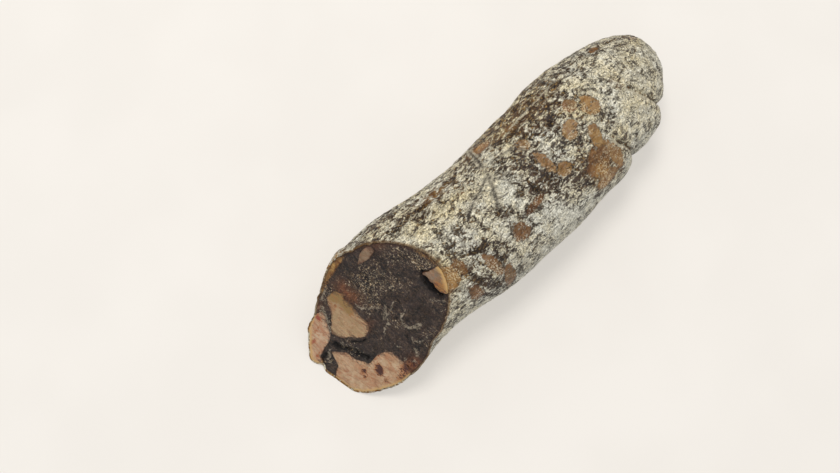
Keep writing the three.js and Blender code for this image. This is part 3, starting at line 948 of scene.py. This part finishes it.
def cut_lump(name):
    """A closed lump between two edges: across it, v runs from the first edge to the second over the top
    and back along the keel, and point = first x (1 - v) + second x v, lifted by the relief."""
    one, two = EDGES[name]
    over = 0.5 - 0.5 * np.cos(np.linspace(0, np.pi, TOP_COUNT))
    keel_v, keel_drop = np.array(KEEL).T
    v = np.concatenate([over, keel_v])
    xz = one[1:-1, None] * (1 - v[:, None]) + two[1:-1, None] * v[:, None]
    points = face_point(xz, np.zeros(xz.shape[:-1]))
    grain = 0.13 * rough(points, 4 * MM, 90) + 0.05 * noise(points, 0.8 * MM, 94)
    lift = np.concatenate([DOME * (1 - np.abs(2 * over - 1) ** 10), keel_drop]) + grain
    lift = lift * np.sin(np.linspace(0, np.pi, EDGE_COUNT))[1:-1, None] ** 0.12
    rings = face_point(xz, lift * MM)
    piece = solid(name + "_cut", rings, face_point(one[0], 0.0), face_point(one[-1], 0.0), lump_chart)
    facing = np.cross(rings[40, 1] - rings[40, 0], rings[41, 0] - rings[40, 0]) @ FACE_NORMAL
    if facing < 0:
        piece.data.flip_normals()

    paint(piece, "keel", np.broadcast_to(np.repeat([0.0, 1.0], [TOP_COUNT, len(KEEL)]), rings.shape[:2]))
    width = np.linalg.norm(one - two, axis=1)[1:-1, None]
    number = np.arange(1, EDGE_COUNT - 1)[:, None]
    from_ends = np.minimum(number, EDGE_COUNT - 1 - number) * 0.35 * MM
    inwards = np.minimum(width * v, from_ends)
    to_second = width * (1 - v)
    at_rim = isinstance(CUT_FAT[name][1], tuple)
    shore = inwards if at_rim else np.minimum(inwards, to_second)
    paint(piece, "shore", np.clip(shore / (2.2 * MM), 0, 1))
    paint(piece, "rind", at_rim * np.exp(-to_second / (1.2 * MM)))
    paint(piece, "ripe", face_tones(xz, RIPE))
    paint(piece, "stain", face_tones(xz, STAINS))
    return piece


cut_lumps = {name: cut_lump(name) for name in CUT_FAT}

# %% [markdown]
# The lumps just under the skin can't be seen past the bloom except as patches, but they are there, and
# they lie in the meat's hollows: each is a lens whose top follows the skin.

# %% Build the lumps under the skin
LENS_RINGS = 14
LENS_AROUND = 48
SNUG = 0.05 * MM


def skin_lump(name):
    """A lens: rings of radius 0 to 1 over the top, and back to 0 underneath. The top lies just under the
    skin, and the underside is deeper by LUMP_THICKNESS x lens(radius)."""
    at_y, at_angle, along, around = UNDER_SKIN[name]
    radius = np.arange(1, LENS_RINGS + 1) / LENS_RINGS
    radius = np.concatenate([radius, radius[-2::-1]])[:, None]
    under = np.repeat([0.0, 1.0], [LENS_RINGS, LENS_RINGS - 1])[:, None]
    turn = circle(LENS_AROUND)
    y = at_y * MM + along * MM * radius * np.cos(turn)
    angle = math.radians(at_angle) + around * MM * radius * np.sin(turn) / MEAN_RADIUS
    below = SNUG + under * LUMP_THICKNESS * lens(radius)
    rings = skin_point(y, angle, MEAT_DEPTH) - outward(y, angle) * below[..., None]
    middle = np.array([at_y * MM]), np.array([math.radians(at_angle)])
    top = skin_point(*middle, MEAT_DEPTH + SNUG)[0]
    bottom = top - outward(*middle)[0] * LUMP_THICKNESS
    chart = wrapped(LENS_AROUND, lambda ring: (ring + 1) / (2 * LENS_RINGS))
    piece = solid(name + "_lump", rings[:, ::-1], top, bottom, chart)
    paint(piece, "keel", np.broadcast_to(under, rings.shape[:2]))
    return piece


skin_lumps = {name: skin_lump(name) for name in UNDER_SKIN}

# %% [markdown]
# ## Writing finishes as formulas
#
# A finish is a tree of nodes. Wiring one by hand hides what it says, so a small class lets a socket be
# used in plain formulas: every + or * on it adds the Math node that does it.

# %% Formula sockets
class Wire:
    """One output socket of a finish, ready for arithmetic."""

    def __init__(self, finish, socket):
        self.finish = finish
        self.socket = socket

    def __add__(self, other):
        return self.finish.math("ADD", self, other)

    def __sub__(self, other):
        return self.finish.math("SUBTRACT", self, other)

    def __rsub__(self, other):
        return self.finish.math("SUBTRACT", other, self)

    def __mul__(self, other):
        return self.finish.math("MULTIPLY", self, other)

    __radd__ = __add__
    __rmul__ = __mul__

    def most(self, other):
        return self.finish.math("MAXIMUM", self, other)

    def clip(self):
        return self.finish.node("ShaderNodeClamp", {}, {"Value": self})


class Finish:
    """A material that is built by formulas."""

    def __init__(self, name):
        self.material = bpy.data.materials.new(name)
        self.material.use_nodes = True
        self.tree = self.material.node_tree
        self.shader = self.tree.nodes["Principled BSDF"]
        self.here = self.node("ShaderNodeTexCoord", {}, {}, "Object")

    def node(self, kind, settings, values, output=0):
        """Adds a node: its settings first, then its sockets' values or links. Returns one output."""
        made = self.tree.nodes.new(kind)
        for key, setting in settings.items():
            setattr(made, key, setting)
        for key, value in values.items():
            self.feed(made.inputs[key], value)
        return Wire(self, made.outputs[output])

    def feed(self, socket, value):
        if isinstance(value, Wire):
            self.tree.links.new(value.socket, socket)
        elif isinstance(value, tuple) and len(value) == 3 and socket.type == "RGBA":
            socket.default_value = (*value, 1.0)
        else:
            socket.default_value = value

    def math(self, operation, *values):
        return self.node("ShaderNodeMath", {"operation": operation}, dict(enumerate(values)))

    def mask(self, name):
        return self.node("ShaderNodeAttribute", {"attribute_name": name}, {}, "Fac")

    def step(self, value, start, end):
        """0 below start, 1 above end, smooth between."""
        ends = {"Value": value, "From Min": start, "From Max": end}
        return self.node("ShaderNodeMapRange", {"interpolation_type": "SMOOTHSTEP"}, ends)

    def blend(self, share, one, two):
        """Colour one, giving way to colour two as share goes from 0 to 1."""
        settings = {"data_type": "RGBA", "clamp_factor": True}
        return self.node("ShaderNodeMix", settings, {0: share, 6: one, 7: two}, 2)

    def coats(self, colour, *coats):
        """Coats laid over a colour one after the other, each a share and a colour."""
        for share, tint in coats:
            colour = self.blend(share, colour, tint)
        return colour

    def raw_noise(self, size, detail, stretch, twist, roughness):
        """Noise with features about size across, drawn out along by the three factors."""
        place = self.node("ShaderNodeMapping", {}, {"Vector": self.here, "Scale": Vector(stretch)})
        values = {"Vector": place, "Scale": 1 / size, "Detail": detail, "Distortion": twist}
        return self.node("ShaderNodeTexNoise", {}, {**values, "Roughness": roughness})

    def grain(self, size, detail=3.0, stretch=(1, 1, 1), twist=0.0, soft=0.17):
        """Soft noise. It keeps near 0.5 when raw, so the stretch 0.5 +- soft is spread over 0 to 1."""
        return self.step(self.raw_noise(size, detail, stretch, twist, 0.58), 0.5 - soft, 0.5 + soft)

    def ridge(self, size, stretch, twist, width):
        """Thin winding lines: 1 where the noise passes 0.5, and 0 once it is `width` away from it."""
        raw = self.raw_noise(size, 2.0, stretch, twist, 0.5)
        return self.step(self.math("ABSOLUTE", raw - 0.5), width, 0.0)

    def bump(self, height, distance, strength=1.0):
        values = {"Height": height, "Distance": distance, "Strength": strength}
        return self.node("ShaderNodeBump", {}, values, "Normal")

    def surface(self, **values):
        """Sets the shader's sockets: a socket's name with underscores for spaces."""
        for key, value in values.items():
            self.feed(self.shader.inputs[key.replace("_", " ")], value)
        return self.material


# %% [markdown]
# ## The skin's finish
#
# Three layers make it: bare skin, dark to amber and a little glossy, then bloom, which is pale and dull
# and breaks up into streaks where the skin is wrinkled, and last the raw edge at the cut, which is clear
# and golden. Fat under the skin holds the bloom off, so the patches stay bare.

# %% Finish the casing
def casing_finish():
    f = Finish("casing_skin")
    bloom, patch, tone, warm, orange = (f.mask(n) for n in ("bloom", "patch", "tone", "warm", "orange"))
    fold, pale_edge_and_highlight, shade, rim = (f.mask(n) for n in ("fold", "pale_edge_and_highlight", "shade", "rim"))
    fine = f.grain(0.95 * MM, 2.0, (1.0, 0.8, 1.0), twist=0.8, soft=0.08)
    speck = f.grain(0.55 * MM, 1.0, twist=0.3, soft=0.10)
    streak = f.grain(1.7 * MM, 3.0, (1.0, 0.40, 1.0), twist=1.6, soft=0.10)
    patchy = f.grain(3.6 * MM, 3.0, twist=0.6)
    blotch = f.grain(2.8 * MM, 2.0, (1.0, 0.6, 1.0), twist=2.5, soft=0.11)
    broad = f.grain(9 * MM, 2.0)
    calm = f.step(f.grain(6 * MM, 1.0, twist=1.0), 0.45, 0.85)
    crack = f.ridge(3.6 * MM, (1.0, 0.5, 1.0), 1.8, 0.045)
    thread = f.ridge(3.2 * MM, (1.0, 0.36, 1.0), 2.4, 0.032)
    gold = f.step(f.grain(0.8 * MM, 2.0, (1.0, 0.7, 1.0), twist=0.5), 0.75, 1.0)

    bare = f.coats(
        f.blend(patchy, (0.026, 0.018, 0.013), (0.100, 0.062, 0.038)),
        (f.step(broad, 0.5, 0.9) * 0.5, (0.075, 0.062, 0.060)),
        (warm * 0.7, f.blend(patchy, (0.032, 0.015, 0.007), (0.150, 0.068, 0.022))),
    )
    patch = f.step(patch + (fine - 0.5) * 0.45 + (streak - 0.5) * 0.4, 0.30, 0.80)
    shore = patch * (1 - patch) * 4
    amber = f.coats(
        f.blend(tone, (0.062, 0.026, 0.011), (0.340, 0.195, 0.064)),
        (patchy * 0.8, f.blend(tone, (0.190, 0.074, 0.017), (0.165, 0.072, 0.021))),
        (f.step(blotch, 0.5, 1.0) * (0.05 + tone * 0.5), (0.40, 0.255, 0.11)),
        (shore * 0.7, (0.028, 0.015, 0.010)),
    )
    veil = (bloom * 1.55 - 0.40 + (patchy - 0.5) * 0.4).clip() * (1 - patch * 0.9)
    haze = f.blend(warm, (0.300, 0.280, 0.230), (0.32, 0.27, 0.165))
    skin = f.coats(
        f.blend(patch, bare, amber),
        # Golden specks on the warm skin: painted glints of the moist, wrinkled skin.
        (gold * warm * (1 - patch * 0.7), (0.55, 0.34, 0.11)),
        (orange, f.blend(patchy, (0.24, 0.095, 0.018), (0.52, 0.29, 0.08))),
        (veil * (1 - orange) * 0.9, f.blend(speck, (0.11, 0.097, 0.076), haze)),
    )

    cool = f.blend(speck, (0.58, 0.555, 0.465), (0.95, 0.925, 0.79))
    straw = f.blend(speck, (0.56, 0.465, 0.27), (0.98, 0.85, 0.54))
    dust = f.blend((warm + (broad - 0.5) * 0.5 + (fine - 0.5) * 0.3).clip(), cool, straw)
    cover = bloom * 1.75 - 0.10 + (streak - 0.5) * 0.60 + (fine - 0.5) * (0.38 - calm * 0.22)
    cover = cover + (speck - 0.5) * 0.18 + (patchy - 0.5) * 1.25 + (blotch - 0.5) * 1.10
    # Bloom is taken out of the folds so that they go dark: painted shade in the creases.
    cover = cover + thread * 0.60 - crack * 0.58 - fold * 0.45 - orange * 0.3
    flecks = f.step(speck + fine * 0.4 + broad * 0.9, 1.55, 1.90) * 0.35
    cover = cover.clip() * (1 - patch * 0.96) + patch * flecks
    # The band along the veins is painted shade, partly the dark vessel itself.
    band = f.step(shade + (streak - 0.5) * 0.35, 0.20, 0.75)
    colour = f.coats(
        f.blend(cover, skin, dust),
        (band * 0.80, f.blend(streak, (0.060, 0.052, 0.044), (0.19, 0.165, 0.125))),
        # Pale hems along the veins and brows beside the folds: partly painted highlight on the raised edges.
        (f.step(pale_edge_and_highlight * (0.5 + streak * 0.7), 0.22, 0.65) * 0.75, (0.70, 0.63, 0.47)),
        (rim * (1 - orange) * 0.8, (0.20, 0.105, 0.035)),
    )
    height = cover * 0.5 + fine * 0.2 + streak * 0.6 + thread * 0.5 - crack * 0.7
    normal = f.bump(height * (1 - patch * 0.80), 0.55 * MM, 1.0)
    dull = 0.40 + cover * 0.30 - patch * 0.15
    return f.surface(Base_Color=colour, Roughness=dull, Normal=normal, Specular_IOR_Level=0.28, IOR=1.45)


# %% [markdown]
# ## The meat's finish
#
# Dried lean is nearly black, purple in its depths, and its torn fibres catch the light as short golden
# threads, which are painted into the colour as highlights. The crevices and pits are painted near black as
# shade, the pits partly dark meat. The marbling is drawn by the mask that raised it.

# %% Finish the lean meat
def lean_finish():
    f = Finish("lean_meat")
    crevice_shade, thread, glint, red = (f.mask(n) for n in ("crevice_shade", "thread", "glint", "red"))
    pit, edge, gilt = (f.mask(n) for n in ("pit", "edge", "gilt"))
    mottle = f.grain(3.2 * MM, 3.0, twist=0.5)
    torn = f.grain(0.75 * MM, 3.0, (1.0, 0.6, 0.8), twist=1.2)
    shreds = f.grain(0.9 * MM, 2.0, (0.35, 1.0, 1.2), twist=2.2, soft=0.12)
    cross = f.grain(0.75 * MM, 2.0, (1.2, 0.8, 0.5), twist=1.5, soft=0.13)
    strokes = f.ridge(2.6 * MM, (0.45, 1.0, 1.3), 2.6, 0.045)
    strands = f.ridge(2.2 * MM, (1.2, 0.7, 0.5), 2.0, 0.040)
    hair = (strokes * f.step(cross, 0.35, 0.8)).most(strands * f.step(shreds, 0.45, 0.9))
    # Bright golden strokes where torn fibres catch the light: a painted highlight.
    painted_glint = f.step(hair, 0.20, 0.60) * f.step(glint + (cross - 0.5) * 0.7 + (mottle - 0.5) * 0.4, 0.42, 0.75)
    gold = f.step(gilt + (torn - 0.5) * 0.5 + (shreds - 0.5) * 0.3, 0.35, 0.75)
    marbling = f.step(thread + (torn - 0.5) * 0.9 + (shreds - 0.5) * 0.5, 0.45, 1.0)
    colour = f.coats(
        f.blend(mottle, (0.008, 0.006, 0.0065), (0.050, 0.032, 0.029)),
        (f.step(shreds, 0.45, 1.0) * 0.55, (0.125, 0.078, 0.052)),
        (red * (0.45 + mottle * 0.55), f.blend(torn, (0.11, 0.018, 0.008), (0.48, 0.19, 0.07))),
        # Bronze fibre strokes, stronger where fibres glint: the fibres' colour and partly painted highlight.
        (hair * (0.22 + glint * 0.4), (0.24, 0.145, 0.075)),
        (painted_glint, f.blend(torn, (0.45, 0.27, 0.11), (1.0, 0.86, 0.62))),
        (gold * 0.9, f.blend(mottle, (0.20, 0.065, 0.012), (0.62, 0.36, 0.11))),
        (marbling * 0.8, f.blend(torn, (0.15, 0.11, 0.07), (0.50, 0.42, 0.31))),
        (f.step(edge, 0.7, 1.0) * 0.5, (0.050, 0.016, 0.008)),
        # Crevices and pits painted near black: painted shade in the recesses, the pits partly dark meat.
        ((crevice_shade + pit * 0.8).clip() * (1 - painted_glint * 0.8) * 0.92, (0.005, 0.004, 0.004)),
    )
    normal = f.bump(torn * 0.8 + shreds * 0.6 + hair * 0.7, 0.4 * MM, 0.85)
    dull = 0.36 + mottle * 0.18 - pit * 0.12
    return f.surface(Base_Color=colour, Roughness=dull, Normal=normal, Specular_IOR_Level=0.4)


# %% [markdown]
# ## The fat's finish
#
# Fat lets light in a little way, so it has some scattering under the surface. One function makes each
# kind from its own colours: a ground, a cloud, and stains.

# %% Finish the fat
DARK_SHORE = (0.070, 0.024, 0.013)
RIND = (0.56, 0.35, 0.13)
OCHRE = (0.25, 0.150, 0.050)
BLOOD = (0.055, 0.012, 0.006)


def fat_finish(name, ground, cloud, ripe, stain):
    """Ground and cloud mix softly; ripe fat, stains, the rind at the casing and a shore that is darker next to
    the lean come from the lump's masks, their edges broken up by noise. The keel is given the shore's dark
    colour."""
    f = Finish(name)
    clouds = f.grain(3.0 * MM, 2.0, twist=0.5)
    streaks = f.grain(1.0 * MM, 3.0, (0.28, 0.8, 1.0), twist=0.8)
    pores = f.grain(0.5 * MM, 2.0)
    blush = f.grain(4.5 * MM, 2.0, (0.6, 1.0, 1.0), twist=1.2)
    lines = f.ridge(3.6 * MM, (0.22, 0.9, 1.0), 0.8, 0.030)
    ragged = (streaks - 0.5) * 0.5 + (pores - 0.5) * 0.3
    glaze = tuple(min(1.0, c * 1.5 + 0.08) for c in ground)
    reddish = (ground[0] * 0.97, ground[1] * 0.70, ground[2] * 0.60)
    blot = f.mask("stain")
    colour = f.coats(
        f.blend(clouds, ground, cloud),
        (f.step(streaks, 0.5, 1.0) * 0.45, glaze),
        (f.step(streaks, 0.35, 0.0) * 0.35 + f.step(blush, 0.6, 1.0) * 0.55, reddish),
        (lines * 0.5, (0.22, 0.10, 0.05)),
        (f.step(pores, 0.25, 0.0) * 0.35, (0.16, 0.07, 0.035)),
        (f.step(f.mask("ripe") + ragged * 0.6, 0.25, 0.75), ripe),
        (f.step(blot + ragged, 0.12, 0.45) * 0.8, (0.33, 0.12, 0.035)),
        (f.step(blot + ragged * 1.4, 0.45, 0.75), stain),
        (f.step(f.mask("rind") + ragged * 0.3, 0.2, 0.8) * 0.85, RIND),
        (f.step(f.mask("shore") + ragged * 1.3, 0.50, 0.05) * 0.7, DARK_SHORE),
        (f.mask("keel") * 0.8, DARK_SHORE),
    )
    normal = f.bump(streaks * 0.6 + pores * 0.3, 0.22 * MM, 0.6)
    f.surface(Base_Color=colour, Roughness=0.32 + pores * 0.15, Normal=normal, Specular_IOR_Level=0.45)
    return f.surface(Subsurface_Weight=0.10, Subsurface_Scale=0.5 * MM)


casing.data.materials.append(casing_finish())
meat.data.materials.append(lean_finish())
HONEY = (0.30, 0.135, 0.030)
RUST = (0.20, 0.06, 0.012)
cream = fat_finish("fat_cream", (0.325, 0.215, 0.108), (0.40, 0.275, 0.15), OCHRE, (0.06, 0.03, 0.02))
pink = fat_finish("fat_pink", (0.42, 0.255, 0.150), (0.50, 0.375, 0.250), OCHRE, (0.26, 0.045, 0.03))
rosy = fat_finish("fat_rosy", (0.39, 0.235, 0.125), (0.50, 0.36, 0.225), OCHRE, BLOOD)
tan = fat_finish("fat_tan", (0.16, 0.10, 0.055), (0.24, 0.16, 0.095), OCHRE, BLOOD)
amber = fat_finish("fat_amber", (0.185, 0.135, 0.090), (0.23, 0.130, 0.060), HONEY, RUST)
FAT_FINISHES = {"fat_centre": cream, "fat_left": pink, "fat_bottom": rosy, "fat_top": tan}

# %% [markdown]
# ## Joining the frame
#
# Every piece rides on the one body, the node of the imported model that it stands for is hidden, and
# each lump is given its fat finish.


def join_frame(piece, node):
    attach(piece, "root")
    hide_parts(node)


join_frame(casing, "casing")
join_frame(meat, "lean_meat")
for node, piece in {**cut_lumps, **skin_lumps}.items():
    piece.data.materials.append(FAT_FINISHES.get(node, amber))
    join_frame(piece, node)

# %% [markdown]
# ## Floor
#
# The floor is plain and pale. It glows a little of itself, so that the shadow where the sausage touches
# it stays as light as it is on white paper in a bright room.

# %% Floor
HALF_FLOOR = 1.5

floor_mesh = bpy.data.meshes.new("floor")
corners = [(-HALF_FLOOR, -HALF_FLOOR, 0), (HALF_FLOOR, -HALF_FLOOR, 0), (HALF_FLOOR, HALF_FLOOR, 0),
           (-HALF_FLOOR, HALF_FLOOR, 0)]
floor_mesh.from_pydata(corners, [], [(0, 1, 2, 3)])
f = Finish("pale_floor")
pale = f.blend(f.grain(60 * MM, 2.0), (0.41, 0.39, 0.365), (0.43, 0.41, 0.385))
f.surface(Base_Color=pale, Roughness=0.9, Emission_Color=(0.44, 0.42, 0.39), Emission_Strength=1.0)
floor_mesh.materials.append(f.material)
placed("floor", floor_mesh)

# %% [markdown]
# ## Light
#
# One soft lamp, nearly overhead, gives the relief its shadows, and a pale world fills them.

# %% Lights
KEY_PLACE = Vector((-0.25, 0.10, 0.90))

key = bpy.data.lights.new("key", "AREA")
key.size = 0.28
key.energy = 4.4
key.color = (1.0, 0.97, 0.93)
lamp = placed("key", key)
lamp.location = KEY_PLACE
lamp.rotation_euler = (-KEY_PLACE).to_track_quat("-Z", "Y").to_euler()
world = bpy.data.worlds.new("studio")
world.use_nodes = True
world.node_tree.nodes["Background"].inputs["Color"].default_value = (0.98, 0.99, 1.0, 1)
world.node_tree.nodes["Background"].inputs["Strength"].default_value = 0.68
bpy.context.scene.world = world
bpy.context.scene.view_settings.view_transform = "Standard"

# %% [markdown]
# ## Camera
#
# The camera looks down from almost overhead, turned so that the sausage runs up to the right. It stands
# back from the point it aims at along (sin a cos e, -cos a cos e, sin e), for azimuth a and elevation e.

# %% Camera
AZIMUTH = math.radians(45)
ELEVATION = math.radians(80)
DISTANCE = 0.42
AIM = Vector((-11.7, -28.9, 20.0)) * MM

level = math.cos(ELEVATION)
back = Vector((math.sin(AZIMUTH) * level, -math.cos(AZIMUTH) * level, math.sin(ELEVATION)))
optics = bpy.data.cameras.new("camera")
optics.lens = 47.5
optics.sensor_width = 36
optics.clip_start = 0.01
camera = placed("camera", optics)
camera.location = AIM + back * DISTANCE
camera.rotation_euler = back.to_track_quat("Z", "Y").to_euler()
bpy.context.scene.camera = camera
